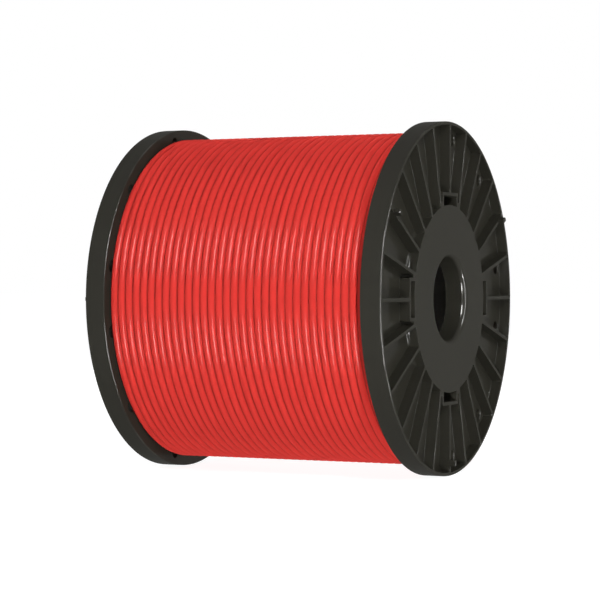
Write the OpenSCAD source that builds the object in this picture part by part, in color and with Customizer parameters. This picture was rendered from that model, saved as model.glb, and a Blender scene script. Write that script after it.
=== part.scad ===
// Wire spool: two ribbed flanges, a snap-in barrel and a full winding of single-core wire.
// The spool's axis lies along Y, and the origin is at the middle of the spool.

/* [Flanges] */
// Diameter of each flange
flange_d = 216; // [214:1:230]
// Depth of a flange, from its inner face to its rib edges
flange_t = 13; // [12:0.5:16]
// Thickness of the web that the ribs stand on
web_t = 6.3; // [5:0.1:8]
// Wall of the rim round the flange
rim_wall = 2; // [1.5:0.1:3]
// Rounding of the rim's outer edges
rim_round = 0.6; // [0.2:0.1:1]
// Thickness of each radial rib
rib_t = 2.2; // [1.6:0.1:2.8]

/* [Arbor bore] */
// Diameter of the bore that an arbor passes through
bore_d = 50.8; // [38:0.1:58]
// Rounding of the bore's outer mouth
bore_lip = 3.1; // [1:0.1:5]

/* [Barrel] */
// Outer diameter of the barrel that carries the wire
barrel_d = 122.6; // [118:0.2:130]
// Wall of the barrel
barrel_wall = 3; // [2.4:0.1:3.6]
// Clear width between the two flanges
traverse = 167.5; // [166:0.5:190]
// Width of each snap tab on the barrel's ends
tab_w = 20.5; // [14:0.5:24]
// How far a tab's hook reaches out over its ledge
hook_reach = 1.1; // [0.8:0.1:1.6]
// Thickness of the ledge that a hook grips
ledge_t = 2.5; // [2:0.1:3.5]
// Clearance all round a tab in its slot
tab_clear = 0.3; // [0.2:0.05:0.5]
// Wall of each socket box round a tab
socket_wall = 2; // [1.5:0.1:2.6]

/* [Stacking lugs] */
// Number of lugs that stand out of each flange
lug_count = 3; // [3, 6]
// Radial height of a lug
lug_h = 4; // [3:0.1:5]
// Width of a lug across the flange's radius
lug_w = 2.8; // [2.6:0.1:4.4]
// How far a lug stands proud of the ribs
lug_proud = 3.9; // [2:0.1:6]
// Distance from the flange's edge to the middle of a lug
lug_inset = 7.8; // [6.5:0.1:9]
// Rounding of a lug's nose
lug_round = 1.2; // [0.6:0.1:1.2]

/* [Wire end holes] */
// Diameter of each hole that a wire end is tucked into
hole_d = 7.7; // [6.8:0.1:8.4]
// Distance from the flange's edge to a hole's centre
hole_inset = 8; // [7.5:0.1:10]
// Gap between a hole and the rib beside it
hole_gap = 1.5; // [0.8:0.1:2.5]
// Chamfer round a hole's mouth
hole_chamfer = 0.8; // [0.3:0.1:1.2]

/* [Wire] */
// Diameter over the wire's insulation
wire_d = 5.05; // [4:0.05:5.3]
// Diameter of the bare conductor
conductor_d = 3; // [1.6:0.1:3.4]
// Diameter over the outer layer of wire
wound_d = 203.4; // [196:0.2:206]
// Lanes of wire drawn side by side in the outer layer
lane_count = 24; // [12:1:24]
// Clearance between the wire and its neighbours
wire_clear = 0.45; // [0.42:0.01:0.6]
// Radius of the wire's bend into its tuck hole, along the centre of the wire
tuck_bend = 4.4; // [3.8:0.1:4.5]

/* [Hidden] */
$fn = 96;

plastic = "#3c3b36";
wire_red = "#e03c36";
wire_core_red = "#b8322c";
copper = "#c47a45";

rib_count = 24;
join = 0.5;              // how deep one feature is rooted in the next
end_clear = 0.2;         // gap between the wound wire and each flange
core_clear = 0.2;        // gap between the inner layers and the barrel
hook_clear = 0.15;       // gap under a hook
hook_tip = 0.3;          // reach that is left at a hook's tapered tip
tab_spring = 1.1;        // room for a tab to spring inwards
tab_side_clear = 0.5;    // gap between a tab's sides and its socket

flange_r = flange_d / 2;
bore_r = bore_d / 2;
barrel_r = barrel_d / 2;
barrel_ri = barrel_r - barrel_wall;
hub_r = barrel_ri - tab_spring;
tab_top = web_t - 1.8;   // height of a tab's tip over the flange's inner face

socket_count = 4;
socket_in = barrel_r + hook_reach + 0.4;
socket_out = socket_in + socket_wall;
pocket_w = tab_w + 2 * tab_side_clear;
socket_w = pocket_w + 2 * socket_wall;

lug_r = flange_r - lug_inset;
hole_r = flange_r - hole_inset;
// Angle between a rib and the hole beside it
hole_step = asin((rib_t / 2 + hole_gap + hole_d / 2) / hole_r);
// Each hole of one quarter: the angle of its rib, and the side of the rib that it is on
QUARTER_HOLES = [[15, -1], [45, 1], [75, 1]];

wire_r = wire_d / 2;
lay_r = wound_d / 2 - wire_r;                 // radius of the outer layer's centre line
tube_sides = 6;
ring_step = 15;                               // angle between two rings of the wire's tube
cross_from = 330;                             // the wire steps to the next lane from here
cross_to = 390;                               // to here, at the back of the spool
lane_edge = traverse / 2 - wire_r - wire_clear;
lane_pitch = 2 * lane_edge / (lane_count - 1);
chord_dip = lay_r * (1 - cos(ring_step / 2)); // how far the tube's chords dip inwards
core_r = lay_r - wire_r - chord_dip - 0.15;

// The tuck hole is the far flange's hole beside its rib at 315 degrees
tuck_angle = 315 + hole_step;
bend_angle = tuck_bend / hole_r * 180 / PI;
tuck_start = tuck_angle - bend_angle;
tuck_run = 30;                                // angle over which the wire drifts to its bend
tuck_lane = traverse / 2 - tuck_bend;
conductor_stub = 1.2;                         // bare conductor past the insulation
tail_sunk = 0.6;                              // how far the bare end stays below the rib edges
tail_end = traverse / 2 + flange_t - tail_sunk - conductor_stub;

// ---------------------------------------------------------------- wire's route

function smooth(t) = t * t * (3 - 2 * t);
function clamp01(t) = min(1, max(0, t));
function mix(a, b, t) = a + (b - a) * t;
function on_drum(r, a, y) = [r * cos(a), y, r * sin(a)];
function along_drum(a) = [-sin(a), 0, cos(a)];

// Place across the drum of lane number lane, with its step to the next lane at angle a
function lane_y(lane, a) =
    -lane_edge + lane_pitch * (lane + smooth(clamp01((a - cross_from) / (cross_to - cross_from))));
function lane_point(lane, a) = on_drum(lay_r, a, lane_y(lane, a));

// The last lane drifts from its own line to the tuck bend
function tuck_share(a) = smooth(clamp01((a - tuck_start + tuck_run) / tuck_run));
function tuck_point(a) =
    on_drum(mix(lay_r, hole_r, tuck_share(a)), a, mix(lane_edge, tuck_lane, tuck_share(a)));

first_angle = cross_to - 360;
last_ring = floor((tuck_start - first_angle) / ring_step - 0.3);
tuck_corner = on_drum(hole_r, tuck_start, tuck_lane);

route = concat(
    [lane_point(0, first_angle) - wire_d * along_drum(first_angle)],
    [for (lane = [0 : lane_count - 2], a = [first_angle : ring_step : cross_to - 1])
        lane_point(lane, a)],
    [for (i = [0 : last_ring]) tuck_point(first_angle + i * ring_step)],
    [for (b = [0 : 22.5 : 90])
        tuck_corner + tuck_bend * (sin(b) * along_drum(tuck_start) + [0, 1 - cos(b), 0])],
    [[tuck_corner[0], tail_end, tuck_corner[2]] + tuck_bend * along_drum(tuck_start)]
);

// ---------------------------------------------------------------- swept tube

function unit(v) = v / norm(v);
function heading(p, i) = unit(p[min(i + 1, len(p) - 1)] - p[max(i - 1, 0)]);
function outwards(v) = unit([v[0], 0, v[2]]);
function square_to(v, t) = unit(v - (v * t) * t);

function tube_ring(centre, t, r) =
    let (n = square_to(outwards(centre), t), b = cross(t, n))
    [for (k = [0 : tube_sides - 1])
        centre + r * (cos(360 * k / tube_sides) * n + sin(360 * k / tube_sides) * b)];

module swept_tube(p, r) {
    rings = len(p);
    points = [for (i = [0 : rings - 1], q = tube_ring(p[i], heading(p, i), r)) q];
    sides = [for (i = [0 : rings - 2], k = [0 : tube_sides - 1], half = [0, 1])
        let (a = i * tube_sides + k, b = i * tube_sides + (k + 1) % tube_sides)
        half == 0 ? [a, a + tube_sides, b] : [b, a + tube_sides, b + tube_sides]];
    first_cap = [for (k = [1 : tube_sides - 2]) [0, k, k + 1]];
    last = (rings - 1) * tube_sides;
    last_cap = [for (k = [1 : tube_sides - 2]) [last, last + k + 1, last + k]];
    polyhedron(points, concat(sides, first_cap, last_cap));
}

// Least gap between the wire and itself, from each ring to every run half a turn to 2 turns away
function to_run(p, a, b) = norm(p - a - clamp01((p - a) * (b - a) / ((b - a) * (b - a))) * (b - a));
function gap_at(i) = min([for (j = [0 : len(route) - 2])
    abs(j - i) >= 12 && abs(j - i) <= 48 ? to_run(route[i], route[j], route[j + 1]) : flange_d]);
least_gap = min([for (i = [0 : len(route) - 1]) gap_at(i)]) - wire_d;
echo(least_gap_in_mm = least_gap, rings = len(route));

// ---------------------------------------------------------------- flanges

// A flange stands on its inner face here, with its ribs upwards and its keyed lug at -Y

module flange_section() {
    difference() {
        union() {
            translate([bore_r, 0]) square([flange_r - bore_r, web_t]);
            translate([bore_r, 0]) square([hub_r - bore_r, flange_t]);
            translate([flange_r - rim_wall, 0]) square([rim_wall, flange_t]);
        }
        round_corner(bore_r, flange_t, bore_lip, 1, -1);
        round_corner(flange_r, flange_t, rim_round, -1, -1);
        round_corner(flange_r, 0, rim_round, -1, 1);
    }
}

// Cuts a section's corner at x, z to radius r; dx and dz point into the material
module round_corner(x, z, r, dx, dz) {
    difference() {
        translate([x + dx * r / 2, z + dz * r / 2]) square(r, center = true);
        translate([x + dx * r, z + dz * r]) circle(r);
    }
}

module ribs() {
    for (i = [0 : rib_count - 1])
        rotate(i * 360 / rib_count)
            translate([hub_r - join, -rib_t / 2, web_t - join])
                cube([flange_r - rim_wall - hub_r + 2 * join, rib_t, flange_t - web_t + join]);
}

module at_sockets() {
    for (i = [0 : socket_count - 1])
        rotate(i * 360 / socket_count) children();
}

module socket_boxes() {
    at_sockets()
        translate([hub_r - socket_wall, -socket_w / 2, web_t - join])
            cube([socket_out - hub_r + socket_wall, socket_w, flange_t - web_t + join]);
}

// The pocket over a tab's hook, and the slot below it that the tab comes up through
module socket_openings() {
    at_sockets() {
        difference() {
            translate([0, -pocket_w / 2, ledge_t])
                cube([socket_in, pocket_w, flange_t]);
            translate([0, 0, -join])
                cylinder(r = hub_r, h = 2 * flange_t);
        }
        intersection() {
            tube(barrel_r + tab_clear, barrel_ri - tab_clear, -join, ledge_t + join);
            translate([0, -tab_w / 2 - tab_clear, -join])
                cube([flange_r, tab_w + 2 * tab_clear, ledge_t + 2 * join]);
        }
    }
}

module tube(r_out, r_in, z_low, z_high) {
    difference() {
        translate([0, 0, z_low]) cylinder(r = r_out, h = z_high - z_low);
        translate([0, 0, z_low - 1]) cylinder(r = r_in, h = z_high - z_low + 2);
    }
}

module lugs() {
    for (i = [0 : lug_count - 1])
        rotate(i * 360 / lug_count - 90)
            translate([lug_r + lug_h / 2, 0, 0])
                rotate([90, 0, -90])
                    linear_extrude(lug_h) lug_face();
}

// A lug seen along the flange's radius, with its nose corners rounded
module lug_face() {
    top = flange_t + lug_proud;
    union() {
        translate([-lug_w / 2, web_t - join])
            square([lug_w, top - lug_round - web_t + join]);
        translate([-lug_w / 2 + lug_round, web_t])
            square([lug_w - 2 * lug_round, top - web_t]);
        for (side = [-1, 1])
            translate([side * (lug_w / 2 - lug_round), top - lug_round])
                circle(lug_round);
    }
}

module wire_hole() {
    translate([0, 0, -join])
        cylinder(d = hole_d, h = web_t + 2 * join);
    translate([0, 0, web_t - hole_chamfer])
        cylinder(d1 = hole_d, d2 = hole_d + 2 * hole_chamfer, h = hole_chamfer);
    translate([0, 0, web_t])
        cylinder(d = hole_d + 2 * hole_chamfer, h = join);
}

module wire_holes() {
    for (hole = QUARTER_HOLES, flip_x = [0, 1], flip_y = [0, 1])
        mirror([flip_x, 0, 0]) mirror([0, flip_y, 0])
            rotate(hole[0] + hole[1] * hole_step)
                translate([hole_r, 0, 0]) wire_hole();
}

module flange() {
    color(plastic)
        difference() {
            union() {
                rotate_extrude() flange_section();
                ribs();
                socket_boxes();
                lugs();
            }
            socket_openings();
            wire_holes();
        }
}

// The near flange's keyed lug points down
module near_flange() {
    translate([0, -traverse / 2, 0])
        rotate([90, 0, 0]) flange();
}

// The far flange is the same moulding turned over, with its keyed lug at -X
module far_flange() {
    translate([0, traverse / 2, 0])
        rotate([-90, 0, 0]) rotate(-90) flange();
}

// ---------------------------------------------------------------- barrel

module barrel_end() {
    at_sockets()
        intersection() {
            union() {
                tube(barrel_r, barrel_ri, traverse / 2 - join, traverse / 2 + tab_top);
                difference() {
                    translate([0, 0, traverse / 2 + ledge_t + hook_clear])
                        cylinder(r1 = barrel_r + hook_reach, r2 = barrel_r + hook_tip,
                                 h = tab_top - ledge_t - hook_clear);
                    cylinder(r = barrel_r - join, h = traverse);
                }
            }
            translate([0, -tab_w / 2, 0]) cube([flange_r, tab_w, traverse]);
        }
}

module barrel() {
    color(plastic)
        rotate([90, 0, 0])
            union() {
                tube(barrel_r, barrel_ri, -traverse / 2, traverse / 2);
                barrel_end();
                mirror([0, 0, 1]) barrel_end();
            }
}

// ---------------------------------------------------------------- wire

riser_w = wire_d - wire_clear;
riser_turn = 30;         // angle over which the wire climbs from the layer below

// Wedge beside the near flange where the wire climbs to the outer layer
module riser() {
    rise = lay_r + wire_r - core_r;
    shift = rise / (1 - cos(riser_turn));
    // In this section the wire's first straight run starts on the line y = -wire_d
    rotate(first_angle)
        linear_extrude(riser_w)
            intersection() {
                translate([shift, -wire_d]) circle(lay_r + wire_r - shift);
                polygon([[core_r - rise, -wire_d], [flange_r, -wire_d],
                         [flange_r * cos(riser_turn), -flange_r * sin(riser_turn) - wire_d],
                         [(core_r - rise) * cos(riser_turn),
                          -(core_r - rise) * sin(riser_turn) - wire_d]]);
            }
}

module inner_wire_layers() {
    color(wire_core_red)
        rotate([90, 0, 0])
            difference() {
                union() {
                    translate([0, 0, -traverse / 2 + end_clear])
                        cylinder(r = core_r, h = traverse - 2 * end_clear);
                    translate([0, 0, traverse / 2 - end_clear - riser_w])
                        riser();
                }
                translate([0, 0, -traverse])
                    cylinder(r = barrel_r + core_clear, h = 2 * traverse);
            }
}

module outer_wire_layer() {
    color(wire_red) swept_tube(route, wire_r);
}

module conductor_end() {
    cut = route[len(route) - 1];
    color(copper)
        translate(cut)
            rotate([-90, 0, 0])
                cylinder(d = conductor_d, h = conductor_stub);
}

near_flange();
far_flange();
barrel();
inner_wire_layers();
outer_wire_layer();
conductor_end();
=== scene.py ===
import math

import bmesh
import bpy
import numpy as np
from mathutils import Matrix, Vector, noise
from mathutils.geometry import delaunay_2d_cdt


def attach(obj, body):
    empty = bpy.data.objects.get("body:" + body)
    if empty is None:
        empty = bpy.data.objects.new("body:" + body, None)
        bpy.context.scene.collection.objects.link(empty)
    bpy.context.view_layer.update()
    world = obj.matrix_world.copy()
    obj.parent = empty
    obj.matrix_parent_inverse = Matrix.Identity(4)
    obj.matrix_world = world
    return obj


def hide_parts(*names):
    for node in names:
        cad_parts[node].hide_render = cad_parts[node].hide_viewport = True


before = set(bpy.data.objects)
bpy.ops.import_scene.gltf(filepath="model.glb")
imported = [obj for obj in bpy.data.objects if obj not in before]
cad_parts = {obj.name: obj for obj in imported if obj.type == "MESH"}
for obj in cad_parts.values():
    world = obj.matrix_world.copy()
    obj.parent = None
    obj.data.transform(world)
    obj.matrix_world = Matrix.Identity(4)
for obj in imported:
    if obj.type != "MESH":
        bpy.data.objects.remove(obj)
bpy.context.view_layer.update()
mm = 0.001
sharpAngle = 38  # degrees; an edge that turns by more stays crisp
print("frame loaded")


# Gathers welded corners and faces, in millimetres
class Shell:
    def __init__(self):
        self.points, self.index, self.faces = [], {}, []

    def corner(self, p):
        key = tuple(round(float(c), 4) for c in p)
        if key not in self.index:
            self.index[key] = len(self.points)
            self.points.append(tuple(float(c) for c in p))
        return self.index[key]

    def face(self, corners):
        ids = [self.corner(p) for p in corners]
        ids = [a for a, b in zip(ids, ids[1:] + ids[:1]) if a != b]
        if len(ids) > 2:
            self.faces.append(ids)

    # Joins closed loops of equal length, one after another
    def bands(self, loops):
        for low, high in zip(loops, loops[1:]):
            for i in range(len(low)):
                j = (i + 1) % len(low)
                self.face([low[i], low[j], high[j], high[i]])

    def mesh(self, name, place=lambda p: p):
        data = bpy.data.meshes.new(name)
        data.from_pydata([Vector(place(p)) * mm for p in self.points], [], self.faces)
        data.validate()
        return facedOutwards(data)


def facedOutwards(data):
    shell = bmesh.new()
    shell.from_mesh(data)
    bmesh.ops.recalc_face_normals(shell, faces=shell.faces)
    for face in shell.faces:
        face.smooth = True
    for edge in shell.edges:
        edge.smooth = edge.is_manifold and edge.calc_face_angle(0) < math.radians(sharpAngle)
    shell.to_mesh(data)
    shell.free()
    return data


def addPiece(name, data, material):
    piece = bpy.data.objects.new(name, data)
    bpy.context.scene.collection.objects.link(piece)
    data.materials.append(material)
    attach(piece, "root")
    return piece


def lift(loop, height):
    return [(p[0], p[1], height) for p in loop]


def ring(radius, count, centre=(0, 0)):
    turn = 2 * math.pi / count
    return [(centre[0] + radius * math.cos(i * turn), centre[1] + radius * math.sin(i * turn))
            for i in range(count)]


# Steps round a quarter circle: the share still to go outwards, and the share already gone down
def quarterSteps(count):
    turns = [math.radians(90 * i / count) for i in range(count + 1)]
    return [(1 - math.sin(turn), 1 - math.cos(turn)) for turn in turns]


def insideLoop(points, loop):
    a, b = np.array(loop), np.roll(np.array(loop), -1, axis=0)
    x, y = points[:, 0:1], points[:, 1:2]
    crossing = (a[:, 1] > y) != (b[:, 1] > y)
    rise = np.where(b[:, 1] == a[:, 1], 1e-12, b[:, 1] - a[:, 1])
    left = x < (b[:, 0] - a[:, 0]) * (y - a[:, 1]) / rise + a[:, 0]
    return (crossing & left).sum(axis=1) % 2 == 1


def sidesOf(face):
    return [tuple(sorted(pair)) for pair in zip(face, face[1:] + face[:1])]


# Triangles that fill the first loop, outside the other loops
def fillLoops(loops, extra=()):
    points, edges = [], []
    for loop in loops:
        first, count = len(points), len(loop)
        points += [tuple(p[:2]) for p in loop]
        edges += [(first + i, first + (i + 1) % count) for i in range(count)]
    points += [tuple(p) for p in extra]
    wholeHull, weld = 0, 1e-5
    made = delaunay_2d_cdt([Vector(p) for p in points], edges, [], wholeHull, weld, True)
    vertices, lines, triangles, vertexSources, lineSources = made[:5]
    corners = [points[ids[0]] if ids else tuple(v) for v, ids in zip(vertices, vertexSources)]
    walls = {tuple(sorted(line)) for line, ids in zip(lines, lineSources) if ids}
    beside = {}
    for number, triangle in enumerate(triangles):
        for line in sidesOf(triangle):
            beside.setdefault(line, []).append(number)
    # from the hull inwards, each loop crossed changes between outside and inside
    waiting = [(found[0], line in walls) for line, found in beside.items() if len(found) == 1]
    within = {}
    while waiting:
        number, inside = waiting.pop()
        if number in within:
            continue
        within[number] = inside
        for line in sidesOf(triangles[number]):
            beyond = inside != (line in walls)
            waiting += [(other, beyond) for other in beside[line] if other != number]
    kept = [triangle for number, triangle in enumerate(triangles) if within.get(number)]
    return [[corners[i] for i in triangle] for triangle in kept]


# One flange moulding, lying on its inner face: millimetres, with angles in degrees
flange = {
    "radius": 108.0, "depth": 13.0, "web": 6.3, "rimWall": 2.0, "rimRound": 0.6, "innerFace": 83.75,
    "ribs": 24, "ribHalf": 1.1, "corner": 0.9, "edgeRound": 0.1, "sockets": 4,
    "hub": 57.2, "boreRadius": 25.4, "boreLip": 3.1,
    "ribFillet": 0.25, "boxFillet": 0.5, "hubFillet": 2.2,
    "socketIn": 62.8, "socketHalf": 10.75, "socketRound": 0.5,  # the opening
    "socketOut": 64.8, "socketHalfOut": 12.75, "boxRound": 0.6,  # the box round it
    "wedge": 1.0, "rampHigh": 5.0, "rampLong": 2.8,  # the narrow corner between box and rib
    "ledge": 2.5, "slotIn": 58.0, "slotOut": 61.6, "slotHalf": 10.55,
    "holeRadius": 3.85, "holeRing": 100.0, "holeGap": 1.5, "holeLip": 0.8, "holeBack": 0.5,
    "holeRibs": ((15, -1), (45, 1), (75, 1)),  # each rib with a hole, and the side it is on
    "lugs": 3, "lugTurn": 270,
    "lugRing": 100.2, "lugLong": 4.0, "lugWide": 2.8, "lugProud": 3.9, "lugRound": 0.5,
    "lugSunk": 0.4, "lugDraft": (0.03, 0.12), "lugCorner": 0.5, "lugCornerTaper": 0.3,
    "rimSides": 240, "boreSides": 120, "holeSides": 32,
}


# Angle between a rib and the wire-end hole beside it
def holeStep():
    away = flange["ribHalf"] + flange["holeGap"] + flange["holeRadius"]
    return math.degrees(math.asin(away / flange["holeRing"]))


def polar(radius, degrees):
    return np.array([radius * math.cos(math.radians(degrees)), radius * math.sin(math.radians(degrees))])


def heading(v):
    return math.degrees(math.atan2(v[1], v[0]))


def turnTo(first, last, sign):
    while sign * (last - first) < 0:
        last += sign * 360
    while sign * (last - first) > 360:
        last -= sign * 360
    return last


# An outline is a list of points, each with the way into its pocket
def linePart(start, end, inwards, step=3.0):
    start, end = np.array(start, float), np.array(end, float)
    count = max(1, round(np.linalg.norm(end - start) / step))
    return [(start + (end - start) * i / count, np.array(inwards, float)) for i in range(count)]


# An arc from one direction to another; the side is 1 where the pocket lies towards its centre
def arcPart(centre, radius, first, last, side, count=5):
    last = turnTo(first, last, side)
    part = []
    for i in range(count):
        way = polar(1, first + (last - first) * i / count)
        part.append((np.array(centre, float) + radius * way, -side * way))
    return part


# Outline of the pocket between two ribs, anticlockwise, with its hub edge marked; u runs out
# along a rib and v across it
def ribPocket(angle, gap):
    f, half, bend = flange, flange["ribHalf"], flange["corner"]
    rim = f["radius"] - f["rimWall"]
    u1, v1 = polar(1, angle), polar(1, angle + 90)
    u2, v2 = polar(1, angle + gap), polar(1, angle + gap + 90)
    inner = math.sqrt((f["hub"] + bend) ** 2 - (half + bend) ** 2)
    outer = math.sqrt((rim - bend) ** 2 - (half + bend) ** 2)
    hub1, hub2 = inner * u1 + (half + bend) * v1, inner * u2 - (half + bend) * v2
    rim1, rim2 = outer * u1 + (half + bend) * v1, outer * u2 - (half + bend) * v2
    parts = linePart(inner * u1 + half * v1, outer * u1 + half * v1, v1)
    parts += arcPart(rim1, bend, heading(-v1), heading(rim1), 1)
    parts += arcPart((0, 0), rim, heading(rim1), heading(rim2), 1, count=9)
    parts += arcPart(rim2, bend, heading(rim2), heading(v2), 1)
    parts += linePart(outer * u2 - half * v2, inner * u2 - half * v2, -v2)
    parts += arcPart(hub2, bend, heading(v2), heading(-hub2), 1)
    marked = len(parts)
    parts += arcPart((0, 0), f["hub"], heading(hub2), heading(hub1), -1, count=8)
    marks = list(range(marked, len(parts) + 1))
    parts += arcPart(hub1, bend, heading(-hub1), heading(-v1), 1)
    return parts, marks, f["hubFillet"], None


# The pocket beside a socket box, for the box on the X axis and the next rib, with the wedge and
# the box's wall marked; the last value is the point in the wedge where the ramp is highest
def boxPocket(gap):
    f, half, bend, tight = flange, flange["ribHalf"], flange["corner"], flange["wedge"]
    box, boxHalf, boxRound = f["socketOut"], f["socketHalfOut"], f["boxRound"]
    rim = f["radius"] - f["rimWall"]
    u, v = polar(1, gap), polar(1, gap + 90)
    outer = math.sqrt((rim - bend) ** 2 - (half + bend) ** 2)
    inner = (boxHalf + tight + (half + tight) * u[0]) / u[1]
    rim1, rim2 = np.array([outer, half + bend]), outer * u - (half + bend) * v
    wedge, wedgePoints = inner * u - (half + tight) * v, 9
    parts = linePart((box + bend, half), (outer, half), (0, 1))
    parts += arcPart(rim1, bend, -90, heading(rim1), 1)
    parts += arcPart((0, 0), rim, heading(rim1), heading(rim2), 1, count=9)
    parts += arcPart(rim2, bend, heading(rim2), heading(v), 1)
    parts += linePart(outer * u - half * v, inner * u - half * v, -v)
    marked = len(parts)
    parts += arcPart(wedge, tight, heading(v), 270, 1, count=wedgePoints)
    parts += linePart((wedge[0], boxHalf), (box - boxRound, boxHalf), (0, 1), step=1.2)
    parts += arcPart((box - boxRound, boxHalf - boxRound), boxRound, 90, 0, -1)
    parts += linePart((box, boxHalf - boxRound), (box, half + bend), (1, 0), step=1.6)
    marks = list(range(marked, len(parts) + 1))
    parts += arcPart((box + bend, half + bend), bend, 180, 270, 1)
    return parts, marks, f["boxFillet"], marked + wedgePoints // 2


# An outline turned about the bore, and mirrored across the X axis before that if asked
def rotated(parts, degrees, flip=False):
    c, s = math.cos(math.radians(degrees)), math.sin(math.radians(degrees))
    spin = np.array([[c, -s], [s, c]])
    if flip:
        parts = [(p * (1, -1), n * (1, -1)) for p, n in reversed(parts)]
    return [(spin @ p, spin @ n) for p, n in parts]


# Distance from each point to the nearest of the lines from a to b
def distanceTo(points, a, b):
    run = b - a
    along = ((points[:, None] - a) * run).sum(2) / np.maximum((run * run).sum(1), 1e-12)
    along = np.clip(along, 0, 1)
    return np.linalg.norm(points[:, None] - (a + along[:, :, None] * run), axis=2).min(axis=1)


def filletRise(distance, radius):
    near = np.clip(1 - distance / radius, 0, 1)
    return radius * (1 - np.sqrt(1 - near * near))


# Height of a pocket's floor, with a larger fillet along the hub or the socket box and a ramp up
# into the wedge between the box and the next rib
def floorHeights(points, outline, marks, fillet, ramp):
    a, b = outline, np.roll(outline, -1, axis=0)
    marked = np.zeros(len(outline), bool)
    marked[marks[:-1]] = True
    rise = filletRise(distanceTo(points, a[~marked], b[~marked]), flange["ribFillet"])
    rise = np.maximum(rise, filletRise(distanceTo(points, a[marked], b[marked]), fillet))
    if ramp is not None:
        away = np.linalg.norm(points - outline[ramp], axis=1)
        rise = np.maximum(rise, flange["rampHigh"] * np.clip(1 - away / flange["rampLong"], 0, 1))
    return flange["web"] + rise


def roundedEdge(outline, inwards, radius, top):
    return [lift(outline - inwards * (radius * inset), top - radius * drop)
            for inset, drop in quarterSteps(3)]


# The wall of a wire-end hole, with a rounded lip at the pocket's floor and one at the inner face
def addHoleWall(shell, centre, mouth):
    f = flange
    level = f["web"] - f["holeLip"]
    loops = [mouth]
    for inset, drop in quarterSteps(4)[1:]:
        around = ring(f["holeRadius"] + f["holeLip"] * inset, f["holeSides"], centre)
        loops.append([(p[0], p[1], m[2] - (m[2] - level) * drop) for p, m in zip(around, mouth)])
    for inset, drop in quarterSteps(3):
        around = ring(f["holeRadius"] + f["holeBack"] * drop, f["holeSides"], centre)
        loops.append(lift(around, f["holeBack"] * inset))
    shell.bands(loops)


# A pocket with its walls, floor and holes; gives back the edge of its opening
def addPocket(shell, parts, marks, fillet, ramp, holes):
    f = flange
    outline = np.array([p for p, n in parts])
    inwards = np.array([n for p, n in parts])
    ends = np.roll(outline, -1, axis=0)
    top = roundedEdge(outline, inwards, f["edgeRound"], f["depth"])
    foot = floorHeights(outline, outline, marks, fillet, ramp)
    shell.bands(top + [[(p[0], p[1], z) for p, z in zip(outline, foot)]])
    # rows of points down the fillets, less those that come too near another wall
    rows, slack = [], 0.02
    for _, drop in quarterSteps(6)[1:]:
        for radius, chosen in ((f["ribFillet"], range(len(outline))), (fillet, marks)):
            step, ids = radius * drop, np.array(chosen) % len(outline)
            row = outline[ids] + inwards[ids] * step
            rows.append(row[distanceTo(row, outline, ends) > step - slack])
    # rings of points down the ramp
    rampRings, rampSides, rampClear = 4, 24, 0.1
    if ramp is not None:
        reaches = [f["rampLong"] * (i + 1) / rampRings for i in range(rampRings)]
        spread = np.concatenate([ring(reach, rampSides, outline[ramp]) for reach in reaches])
        away = distanceTo(spread, outline, ends)
        rows.append(spread[(away > f["boxFillet"] + rampClear) & insideLoop(spread, outline)])
    extra = np.concatenate(rows)
    mouths, holeClear = [], 0.15
    for centre in holes:
        radius = f["holeRadius"] + f["holeLip"]
        mouths.append(np.array(ring(radius, f["holeSides"], centre)))
        extra = extra[np.linalg.norm(extra - centre, axis=1) > radius + holeClear]
    heights = {}
    for triangle in fillLoops([outline] + mouths, extra):
        for p in triangle:
            if p not in heights:
                heights[p] = float(floorHeights(np.array([p]), outline, marks, fillet, ramp)[0])
        shell.face([(p[0], p[1], heights[p]) for p in triangle])
    for centre, mouth in zip(holes, mouths):
        addHoleWall(shell, centre, [(p[0], p[1], heights[tuple(p)]) for p in mouth])
    return top[0]


# A snap socket, with the ledge and the slot that a tab of the barrel comes through; gives back
# the edges of its opening and of the slot
def addSocket(shell, degrees):
    f = flange
    half, out, bend = f["socketHalf"], f["socketIn"], f["socketRound"]
    reach = math.degrees(math.asin(half / f["hub"]))
    start = polar(f["hub"], reach)[0]
    parts = linePart((start, -half), (out - bend, -half), (0, 1), step=1.5)
    parts += arcPart((out - bend, bend - half), bend, -90, 0, 1, count=4)
    parts += linePart((out, bend - half), (out, half - bend), (-1, 0), step=2.2)
    parts += arcPart((out - bend, half - bend), bend, 0, 90, 1, count=4)
    parts += linePart((out - bend, half), (start, half), (0, -1), step=1.5)
    parts += arcPart((0, 0), f["hub"], reach, -reach, -1, count=10)
    parts = rotated(parts, degrees)
    outline = np.array([p for p, n in parts])
    inwards = np.array([n for p, n in parts])
    top = roundedEdge(outline, inwards, f["edgeRound"], f["depth"])
    shell.bands(top + [lift(outline, f["ledge"])])
    near = math.degrees(math.asin(f["slotHalf"] / f["slotIn"]))
    far = math.degrees(math.asin(f["slotHalf"] / f["slotOut"]))
    sweep = np.linspace(-1, 1, 13)
    slot = [polar(f["slotOut"], degrees + far * share) for share in sweep]
    slot += [polar(f["slotIn"], degrees - near * share) for share in sweep]
    for triangle in fillLoops([outline, slot]):
        shell.face(lift(triangle, f["ledge"]))
    shell.bands([lift(slot, f["ledge"]), lift(slot, 0)])
    return top[0], slot


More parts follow.
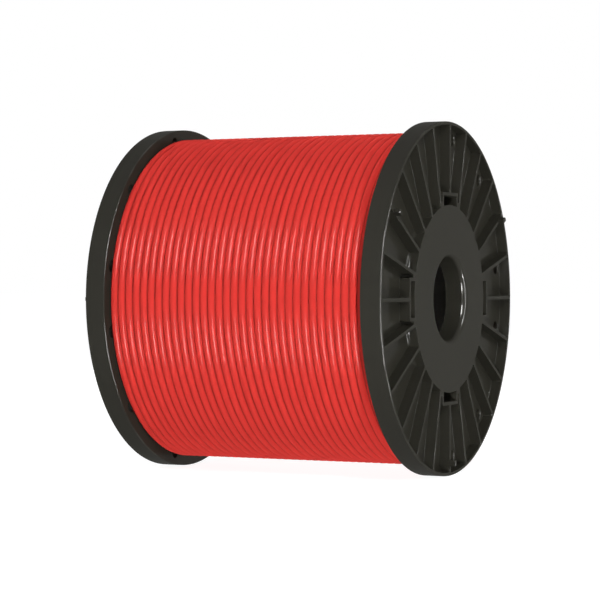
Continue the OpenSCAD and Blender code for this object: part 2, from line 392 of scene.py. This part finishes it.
# A stacking lug, with a slight draft and a rounded top, that stands on the web through a rib
def addLug(shell, degrees):
    f = flange
    top = f["depth"] + f["lugProud"]
    low, high = f["lugDraft"]
    levels = [(f["web"] - f["lugSunk"], 0.0), (f["depth"], low), (top - f["lugRound"], high)]
    for inset, drop in quarterSteps(5)[1:]:
        levels.append((top - f["lugRound"] * inset, high + f["lugRound"] * drop))
    middle, along, across = polar(f["lugRing"], degrees), polar(1, degrees), polar(1, degrees + 90)
    loops, bendSteps = [], 4
    for height, draft in levels:
        bend = f["lugCorner"] - draft * f["lugCornerTaper"]
        longHalf, wideHalf = f["lugLong"] / 2 - draft - bend, f["lugWide"] / 2 - draft - bend
        loop = []
        for sx, sy, first in ((1, 1, 0), (-1, 1, 90), (-1, -1, 180), (1, -1, 270)):
            for i in range(bendSteps + 1):
                q = np.array([sx * longHalf, sy * wideHalf]) + polar(bend, first + 90 * i / bendSteps)
                loop.append(tuple(middle + q[0] * along + q[1] * across) + (height,))
        loops.append(loop)
    shell.bands(loops)
    shell.face(loops[0][::-1])
    shell.face(loops[-1])


def flangeShell():
    f, shell = flange, Shell()
    gap, quarter = 360 / f["ribs"], f["ribs"] // f["sockets"]
    turns = [rib + side * holeStep() for rib, side in f["holeRibs"]]
    holes = [half + turn * way for half in (0, 180) for way in (1, -1) for turn in turns]
    tops, slots = [], []
    for i in range(f["ribs"]):
        angle = i * gap
        inPocket = [polar(f["holeRing"], a) for a in holes if 0 < (a - angle) % 360 < gap]
        if i % quarter == 0:
            parts, marks, fillet, ramp = boxPocket(gap)
            parts = rotated(parts, angle)
        elif i % quarter == quarter - 1:
            parts, marks, fillet, ramp = boxPocket(gap)
            parts = rotated(parts, angle + gap, True)
            marks = [len(parts) - 1 - mark for mark in reversed(marks)]
            ramp = len(parts) - 1 - ramp
        else:
            parts, marks, fillet, ramp = ribPocket(angle, gap)
        tops.append(addPocket(shell, parts, marks, fillet, ramp, inPocket))
    for i in range(f["sockets"]):
        top, slot = addSocket(shell, 360 / f["sockets"] * i)
        tops.append(top)
        slots.append(slot)
    # the outer face, the rim and the bore with their rounded edges, and the inner face
    edge, lip = f["rimRound"], f["boreLip"]
    outer = ring(f["radius"] - edge, f["rimSides"])
    mouth, bore = ring(f["boreRadius"] + lip, f["boreSides"]), ring(f["boreRadius"], f["boreSides"])
    for triangle in fillLoops([outer, mouth] + tops):
        shell.face(lift(triangle, f["depth"]))
    steps = quarterSteps(6)
    rim = [lift(ring(f["radius"] - edge * inset, f["rimSides"]), f["depth"] - edge * drop)
           for inset, drop in steps]
    rim += [lift(ring(f["radius"] - edge * drop, f["rimSides"]), edge * inset) for inset, drop in steps]
    shell.bands(rim)
    wall = [lift(ring(f["boreRadius"] + lip * inset, f["boreSides"]), f["depth"] - lip * drop)
            for inset, drop in quarterSteps(12)]
    shell.bands(wall + [lift(bore, 0)])
    back = f["holeRadius"] + f["holeBack"]
    backs = [ring(back, f["holeSides"], polar(f["holeRing"], a)) for a in holes]
    for triangle in fillLoops([outer, bore] + backs + slots):
        shell.face(lift(triangle, 0))
    for i in range(f["lugs"]):
        addLug(shell, f["lugTurn"] + 360 / f["lugs"] * i)
    return shell


# The outer layer as one wire: millimetres, with angles in degrees
wire = {
    "radius": 2.52, "layRadius": 99.175, "lanes": 33, "pitch": 5.076, "sides": 16, "step": 3.0,
    "crossFrom": 330.0, "crossTo": 390.0,
    "start": -28.0, "climb": 4.6, "climbFrom": -22.0, "climbOver": 25.0,
    "wander": 0.02, "wanderLane": 0.9, "wanderTurn": 50, "wanderSeed": 4.0,
    "tuckRib": 315.0, "tuckOver": 30.0, "tuckBend": 4.2, "bendSteps": 8,
    "tailEnd": 94.95, "tailSteps": 4,
}


def smooth(t):
    t = min(1.0, max(0.0, t))
    return t * t * (3 - 2 * t)


# The wire climbs out of the layer below, crosses to its next lane on the +X side of every turn,
# and bends into a hole of the far flange
def windingPath():
    w = wire
    first, rise = w["crossTo"] - 360, flange["holeRing"] - w["layRadius"]
    half = w["pitch"] * (w["lanes"] - 1) / 2
    bendTurn = math.degrees(w["tuckBend"] / flange["holeRing"])
    lastAngle = w["tuckRib"] + holeStep() - bendTurn
    total = 360 * (w["lanes"] - 1) + lastAngle - first
    count = int((total - w["start"]) / w["step"])
    points = []
    for i in range(count + 1):
        swept = w["start"] + (total - w["start"]) * i / count
        lane = max(0, int(swept // 360))
        a = first + swept - 360 * lane
        crossed = smooth((a - w["crossFrom"]) / (w["crossTo"] - w["crossFrom"]))
        spot = Vector((lane * w["wanderLane"], a / w["wanderTurn"], w["wanderSeed"]))
        r = w["layRadius"] + w["wander"] * noise.noise(spot)
        r -= w["climb"] * (1 - smooth((swept - w["climbFrom"]) / w["climbOver"]))
        r += rise * smooth((swept - total + w["tuckOver"]) / w["tuckOver"])
        turn = math.radians(a)
        points.append((r * math.cos(turn), w["pitch"] * (lane + crossed) - half, r * math.sin(turn)))
    turn = math.radians(lastAngle)
    corner = Vector(points[-1])
    along = Vector((-math.sin(turn), 0, math.cos(turn)))
    for i in range(1, w["bendSteps"] + 1):
        b = math.radians(90 * i / w["bendSteps"])
        bent = math.sin(b) * along + Vector((0, 1 - math.cos(b), 0))
        points.append(tuple(corner + w["tuckBend"] * bent))
    end = points[-1]
    for i in range(1, w["tailSteps"] + 1):
        points.append((end[0], end[1] + (w["tailEnd"] - end[1]) * i / w["tailSteps"], end[2]))
    return np.array(points)


# A round tube along a path; its UV runs with the wire's length and once round it from the outside
def tubeMesh(name, path, radius, sides):
    ahead = np.roll(path, -1, axis=0)
    behind = np.roll(path, 1, axis=0)
    ahead[-1], behind[0] = path[-1], path[0]
    way = ahead - behind
    way /= np.linalg.norm(way, axis=1)[:, None]
    out = path * (1, 0, 1)
    out -= (out * way).sum(1)[:, None] * way
    out /= np.linalg.norm(out, axis=1)[:, None]
    side = np.cross(way, out)
    turns = 2 * math.pi * np.arange(sides) / sides
    cosines, sines = np.cos(turns)[None, :, None], np.sin(turns)[None, :, None]
    rings = path[:, None] + radius * (cosines * out[:, None] + sines * side[:, None])
    count = len(path)
    faces = []
    for i in range(count - 1):
        for k in range(sides):
            j = (k + 1) % sides
            faces.append((i * sides + k, i * sides + j, (i + 1) * sides + j, (i + 1) * sides + k))
    faces.append(tuple(range(sides))[::-1])
    faces.append(tuple((count - 1) * sides + k for k in range(sides)))
    data = bpy.data.meshes.new(name)
    data.from_pydata((rings.reshape(-1, 3) * mm).tolist(), [], faces)
    length = np.concatenate([[0], np.cumsum(np.linalg.norm(path[1:] - path[:-1], axis=1))]) * mm
    uv = data.uv_layers.new(name="alongWire")
    for face in data.polygons:
        seam = face.index % sides == sides - 1 and face.index < (count - 1) * sides
        for loop in face.loop_indices:
            vertex = data.loops[loop].vertex_index
            k = vertex % sides
            if seam and k == 0:
                k = sides
            uv.data[loop].uv = (length[vertex // sides], k / sides)
    return facedOutwards(data)


# The layers below, with the round tops of their last turns
under = {
    "radius": 2.52, "layRadius": 94.8, "lanes": 32, "pitch": 5.076, "inner": 61.5, "half": 83.5,
    "segments": 72, "steps": 5, "topFrom": 165, "topTo": 15,
}


def underShell():
    u, shell = under, Shell()
    first = -u["pitch"] * (u["lanes"] - 1) / 2
    profile = [(-u["half"], u["layRadius"])]
    for lane in range(u["lanes"]):
        for i in range(u["steps"] + 1):
            turn = math.radians(u["topFrom"] + (u["topTo"] - u["topFrom"]) * i / u["steps"])
            profile.append((first + lane * u["pitch"] + u["radius"] * math.cos(turn),
                            u["layRadius"] + u["radius"] * math.sin(turn)))
    profile += [(u["half"], u["layRadius"]), (u["half"], u["inner"]), (-u["half"], u["inner"])]
    loops = [[(p[0], y, p[1]) for p in ring(r, u["segments"])] for y, r in profile]
    shell.bands(loops + [loops[0]])
    return shell


# A shader node with its inputs set or linked
def node(tree, kind, inputs=None, **settings):
    made = tree.nodes.new(kind)
    for key, value in settings.items():
        setattr(made, key, value)
    for key, value in (inputs or {}).items():
        if isinstance(value, bpy.types.NodeSocket):
            tree.links.new(value, made.inputs[key])
        else:
            made.inputs[key].default_value = value
    return made


def newMaterial(name):
    material = bpy.data.materials.new(name)
    material.use_nodes = True
    material.node_tree.nodes.clear()
    return material


# Broad and fine mottling, shared by the plastics and the copper
def mottleGroup():
    tree = bpy.data.node_groups.new("mottle", "ShaderNodeTree")
    tree.interface.new_socket("Vector", in_out="INPUT", socket_type="NodeSocketVector")
    for name, value in (("Broad Scale", 20.0), ("Fine Scale", 900.0)):
        socket = tree.interface.new_socket(name, in_out="INPUT", socket_type="NodeSocketFloat")
        socket.default_value = value
    for name in ("Broad", "Fine"):
        tree.interface.new_socket(name, in_out="OUTPUT", socket_type="NodeSocketFloat")
    source = node(tree, "NodeGroupInput").outputs
    broad = node(tree, "ShaderNodeTexNoise", {
        "Vector": source["Vector"], "Scale": source["Broad Scale"], "Detail": 4.0, "Roughness": 0.6})
    fine = node(tree, "ShaderNodeTexNoise", {
        "Vector": source["Vector"], "Scale": source["Fine Scale"], "Detail": 3.0, "Roughness": 0.55})
    node(tree, "NodeGroupOutput", {"Broad": broad.outputs["Fac"], "Fine": fine.outputs["Fac"]})
    return tree


mottle = mottleGroup()


def mottled(tree, place, scales):
    inputs = {"Vector": place, "Broad Scale": scales[0], "Fine Scale": scales[1]}
    return node(tree, "ShaderNodeGroup", inputs, node_tree=mottle).outputs


def mapped(tree, value, low, high, fromLow=0.0, fromHigh=1.0):
    inputs = {"Value": value, "From Min": fromLow, "From Max": fromHigh, "To Min": low, "To Max": high}
    return node(tree, "ShaderNodeMapRange", inputs).outputs["Result"]


def mixed(tree, factor, a, b):
    made = node(tree, "ShaderNodeMix", data_type="RGBA")
    for socket, value in ((made.inputs[0], factor), (made.inputs[6], a), (made.inputs[7], b)):
        if isinstance(value, bpy.types.NodeSocket):
            tree.links.new(value, socket)
        else:
            socket.default_value = value
    return made.outputs[2]


def maths(tree, operation, a, b=0.0):
    return node(tree, "ShaderNodeMath", {0: a, 1: b}, operation=operation).outputs[0]


def bumped(tree, height, look):
    strength, distance = look["bump"]
    inputs = {"Height": height, "Strength": strength, "Distance": distance}
    return node(tree, "ShaderNodeBump", inputs).outputs["Normal"]


# A matt colour under a thin glossy coat
def coated(tree, look, colour, rough, normal):
    shader = node(tree, "ShaderNodeBsdfPrincipled", {
        "Base Color": colour, "Diffuse Roughness": look["diffuseRough"], "Roughness": 0.5,
        "Specular IOR Level": 0.0, "Normal": normal, "Coat Weight": look["gloss"], "Coat IOR": 2.0,
        "Coat Roughness": rough, "Coat Normal": normal})
    node(tree, "ShaderNodeOutputMaterial", {"Surface": shader.outputs["BSDF"]})


# A bump is a strength and a depth in metres; the wear-and-sheen values are distances from the axis and
# from the middle, in metres, between which the wear and the painted highlight on the rim's corners come
# in
plasticLook = {
    "dark": (0.0309, 0.0295, 0.0230, 1), "pale": (0.0346, 0.0331, 0.0258, 1),
    "rough": (0.14, 0.20), "diffuseRough": 0.0, "gloss": 0.069,
    "bump": (0.25, 0.000004), "scales": (26.0, 1300.0),
    # the scuff colour is wear on the rim's corners and also a painted highlight along the rim's edges
    "wearAndSheen": (0.085, 0.083, 0.076, 1), "wearAndSheenShare": 0.5, "scuffRough": 0.18, "patches": (0.5, 0.68),
    "wearAndSheenRadius": (0.1071, 0.1079), "wearAndSheenOuter": (0.0955, 0.0966), "wearAndSheenInner": (0.0839, 0.0848),
    # the inside colour is painted light on the barrel's inner wall, paler than the real plastic
    "inside": (0.33, 0.322, 0.295, 1), "paintedLightInsideEnd": (0.0836, 0.0838),
}


def plasticMaterial(name, paintedLightInside=False):
    look = plasticLook
    material = newMaterial(name)
    tree = material.node_tree
    place = node(tree, "ShaderNodeTexCoord").outputs["Object"]
    grain = mottled(tree, place, look["scales"])
    # light rubbing on the rim's corners, whose paler colour is also a painted highlight along the rim's
    # edges
    parts = node(tree, "ShaderNodeSeparateXYZ", {0: place}).outputs
    flat = node(tree, "ShaderNodeCombineXYZ", {"X": parts["X"], "Z": parts["Z"]}).outputs[0]
    radius = node(tree, "ShaderNodeVectorMath", {0: flat}, operation="LENGTH").outputs["Value"]
    across = maths(tree, "ABSOLUTE", parts["Y"])
    rim = mapped(tree, radius, 0.0, 1.0, *look["wearAndSheenRadius"])
    outerEdge = mapped(tree, across, 0.0, 1.0, *look["wearAndSheenOuter"])
    innerEdge = mapped(tree, across, 1.0, 0.0, *look["wearAndSheenInner"])
    corners = maths(tree, "MULTIPLY", rim, maths(tree, "MAXIMUM", outerEdge, innerEdge))
    patches = mapped(tree, grain["Broad"], 0.0, 1.0, *look["patches"])
    wearAndSheen = maths(tree, "MULTIPLY", corners, patches)
    base = mixed(tree, grain["Broad"], look["dark"], look["pale"])
    if paintedLightInside:
        # painted light: the barrel's inner wall gets a paler colour than its snap tabs, standing in for
        # light inside the shaded bore
        wall = mapped(tree, across, 1.0, 0.0, *look["paintedLightInsideEnd"])
        base = mixed(tree, wall, base, look["inside"])
    # mixes in the rim corners' wear and painted highlight
    colour = mixed(tree, maths(tree, "MULTIPLY", wearAndSheen, look["wearAndSheenShare"]), base, look["wearAndSheen"])
    rough = maths(tree, "ADD", mapped(tree, grain["Broad"], *look["rough"]),
                  maths(tree, "MULTIPLY", wearAndSheen, look["scuffRough"]))
    coated(tree, look, colour, rough, bumped(tree, grain["Fine"], look))
    return material


# The painted valley shade's values are turns round the wire, counted from its outermost line
wireLook = {
    "deep": (0.81, 0.054, 0.044, 1), "bright": (0.84, 0.057, 0.047, 1),
    # the valley colour is painted shade in the grooves between turns
    "paintedValleyShade": (0.59, 0.056, 0.045, 1), "paintedValleyShadeAt": (0.14, 0.18),
    "rough": (0.19, 0.21), "diffuseRough": 0.7, "gloss": 0.024, "bump": (0.15, 0.000003),
    "stretch": (6.0, 1.0, 1.0), "scales": (3.0, 40.0), "underScales": (40.0, 900.0),
}


def wireMaterial(name, byLength):
    look = wireLook
    material = newMaterial(name)
    tree = material.node_tree
    coords = node(tree, "ShaderNodeTexCoord").outputs
    if byLength:
        # the grain runs along the wire
        drawn = node(tree, "ShaderNodeMapping", {"Vector": coords["UV"], "Scale": look["stretch"]})
        grain = mottled(tree, drawn.outputs["Vector"], look["scales"])
    else:
        grain = mottled(tree, coords["Object"], look["underScales"])
    colour = mixed(tree, grain["Broad"], look["deep"], look["bright"])
    if byLength:
        # painted shade: the flanks that touch the next turns are darker, as the grooves between turns
        # would be in shade
        around = node(tree, "ShaderNodeSeparateXYZ", {0: coords["UV"]}).outputs["Y"]
        paintedShadeFlank = mapped(tree, maths(tree, "PINGPONG", around, 0.5), 0.0, 1.0, *look["paintedValleyShadeAt"])
        colour = mixed(tree, paintedShadeFlank, colour, look["paintedValleyShade"])
    rough = mapped(tree, grain["Fine"], *look["rough"])
    coated(tree, look, colour, rough, bumped(tree, grain["Fine"], look))
    return material


copperLook = {
    "dark": (0.72, 0.33, 0.18, 1), "pale": (0.86, 0.47, 0.3, 1), "rough": (0.22, 0.42),
    "bump": (0.3, 0.00003), "scales": (300.0, 4000.0),
}


def copperMaterial():
    look = copperLook
    material = newMaterial("cutCopper")
    tree = material.node_tree
    grain = mottled(tree, node(tree, "ShaderNodeTexCoord").outputs["Object"], look["scales"])
    colour = mixed(tree, grain["Broad"], look["dark"], look["pale"])
    rough = mapped(tree, grain["Fine"], *look["rough"])
    shader = node(tree, "ShaderNodeBsdfPrincipled", {
        "Base Color": colour, "Metallic": 1.0, "Roughness": rough,
        "Normal": bumped(tree, grain["Fine"], look)})
    node(tree, "ShaderNodeOutputMaterial", {"Surface": shader.outputs["BSDF"]})
    return material


plastic = plasticMaterial("spoolPlastic")
# the barrel's inner wall carries painted light
barrelPlastic = plasticMaterial("barrelPlastic", paintedLightInside=True)
redWire = wireMaterial("wireInsulation", True)
redUnder = wireMaterial("wireInsulationUnder", False)
copper = copperMaterial()
print("materials made")

# one moulding serves both flanges: the far one is turned over, with its lugs at other angles
shape = flangeShell()
inner = flange["innerFace"]
nearData = shape.mesh("nearFlangeMoulding", lambda p: (p[0], -p[2] - inner, p[1]))
farData = shape.mesh("farFlangeMoulding", lambda p: (p[1], p[2] + inner, p[0]))
near = addPiece("nearFlangeMoulding", nearData, plastic)
far = addPiece("farFlangeMoulding", farData, plastic)
for piece, name in ((near, "near_flange"), (far, "far_flange")):
    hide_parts(name)
    even = piece.modifiers.new("evenShading", "WEIGHTED_NORMAL")
    even.keep_sharp = True
    even.weight = 90
print("flanges made", len(nearData.polygons))

turnsData = tubeMesh("wireOuterTurns", windingPath(), wire["radius"], wire["sides"])
turns = addPiece("wireOuterTurns", turnsData, redWire)
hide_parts("outer_wire_layer")
core = addPiece("wireUnderTurns", underShell().mesh("wireUnderTurns"), redUnder)
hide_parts("inner_wire_layers")
print("winding made", len(turnsData.polygons))

# the barrel and the wire's bare end keep their CAD shapes
for name, material in (("barrel", barrelPlastic), ("conductor_end", copper)):
    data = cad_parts[name].data
    data.materials.clear()
    data.materials.append(material)
print("barrel and wire end coloured")

# The room, with its lengths in metres
stage = {"floor": -0.108, "size": 14.0, "glow": 0.93, "floorColour": 0.27, "ambient": 0.27,
         "lampDistance": 1.6}


def addFloor():
    s, z = stage["size"], stage["floor"]
    data = bpy.data.meshes.new("floor")
    data.from_pydata([(-s, -s, z), (s, -s, z), (s, s, z), (-s, s, z)], [], [(0, 1, 2, 3)])
    floor = bpy.data.objects.new("floor", data)
    bpy.context.scene.collection.objects.link(floor)
    material = newMaterial("paleFloor")
    tree = material.node_tree
    matte = node(tree, "ShaderNodeBsdfDiffuse", {"Color": (stage["floorColour"],) * 3 + (1,)})
    glow = node(tree, "ShaderNodeEmission", {"Color": (1, 1, 1, 1), "Strength": stage["glow"]})
    both = node(tree, "ShaderNodeAddShader", {0: matte.outputs[0], 1: glow.outputs[0]})
    clear = node(tree, "ShaderNodeBsdfTransparent")
    behind = node(tree, "ShaderNodeNewGeometry").outputs["Backfacing"]
    seen = node(tree, "ShaderNodeMixShader", {0: behind, 1: both.outputs[0], 2: clear.outputs[0]})
    node(tree, "ShaderNodeOutputMaterial", {"Surface": seen.outputs[0]})
    data.materials.append(material)
    # the lamps and the surroundings light the object from below too
    floor.visible_shadow = False
    floor.visible_diffuse = False
    floor.visible_glossy = False


def addWorld():
    world = bpy.data.worlds.new("paleRoom")
    bpy.context.scene.world = world
    world.use_nodes = True
    tree = world.node_tree
    tree.nodes.clear()
    rays = node(tree, "ShaderNodeLightPath").outputs
    room = node(tree, "ShaderNodeBackground", {"Color": (1, 1, 1, 1), "Strength": stage["ambient"]})
    white = node(tree, "ShaderNodeBackground", {"Color": (1, 1, 1, 1), "Strength": 1.0})
    clear = maths(tree, "MAXIMUM", rays["Is Camera Ray"], rays["Is Transmission Ray"])
    seen = maths(tree, "MAXIMUM", clear, rays["Is Glossy Ray"])
    last = node(tree, "ShaderNodeMixShader", {0: seen, 1: room.outputs[0], 2: white.outputs[0]})
    node(tree, "ShaderNodeOutputWorld", {"Surface": last.outputs[0]})


# A lamp that faces the middle; its size is in metres and its power in watts
def addLamp(name, azimuth, elevation, size, power):
    data = bpy.data.lights.new(name, "AREA")
    data.shape = "RECTANGLE"
    data.size, data.size_y = size
    data.energy = power
    lamp = bpy.data.objects.new(name, data)
    a, e = math.radians(azimuth), math.radians(elevation)
    way = Vector((math.cos(a) * math.cos(e), math.sin(a) * math.cos(e), math.sin(e)))
    lamp.location = way * stage["lampDistance"]
    lamp.rotation_mode = "QUATERNION"
    lamp.rotation_quaternion = way.to_track_quat("Z", "Y")
    lamp.visible_camera = False
    bpy.context.scene.collection.objects.link(lamp)
    return lamp


# A lamp that leaves no highlight
def addFill(name, azimuth, elevation, size, power):
    addLamp(name, azimuth, elevation, size, power).visible_glossy = False


# A lamp that only shows as a highlight
def addGlint(name, azimuth, elevation, size, power):
    addLamp(name, azimuth, elevation, size, power).visible_diffuse = False


# The focal length and the middle are in pixels of a square render
view = {"azimuth": 25.255, "elevation": 0.498, "distance": 1.3159, "focal": 2089.7,
        "middle": (307.02, 298.22), "pixels": 600, "sensor": 36.0, "farthest": 60}


def addCamera():
    data = bpy.data.cameras.new("camera")
    data.sensor_width = view["sensor"]
    data.lens = view["sensor"] * view["focal"] / view["pixels"]
    data.shift_x = (view["pixels"] / 2 - view["middle"][0]) / view["pixels"]
    data.shift_y = (view["middle"][1] - view["pixels"] / 2) / view["pixels"]
    data.clip_end = view["farthest"]
    camera = bpy.data.objects.new("camera", data)
    a, e = math.radians(view["azimuth"]), math.radians(view["elevation"])
    back = Vector((-math.cos(a) * math.cos(e), -math.sin(a) * math.cos(e), math.sin(e)))
    camera.location = back * view["distance"]
    camera.rotation_mode = "QUATERNION"
    camera.rotation_quaternion = (-back).to_track_quat("-Z", "Y")
    bpy.context.scene.collection.objects.link(camera)
    bpy.context.scene.camera = camera


addFloor()
addWorld()
addLamp("upperLamp", -142, 29, (0.15, 0.15), 9.0)
addLamp("lowerLamp", -142, -27, (0.15, 0.15), 9.0)
addLamp("sideLamp", -87, 0, (0.2, 1.6), 5.3)
addFill("upperFill", 142, 29, (0.15, 0.15), 2.0)
addFill("lowerFill", 142, -27, (0.15, 0.15), 2.0)
addFill("rightFill", -28, 0, (0.15, 0.15), 4.5)
addFill("backFill", 50, 4, (0.15, 0.15), 9.0)
addGlint("upperGlint", -162, 29.5, (0.4, 0.72), 140)
addGlint("lowerGlint", -162, -27.5, (0.4, 0.72), 140)
addGlint("sideGlint", -87, 0, (0.2, 2.2), 330)
addCamera()
bpy.context.scene.view_settings.view_transform = "Standard"
print("stage made")
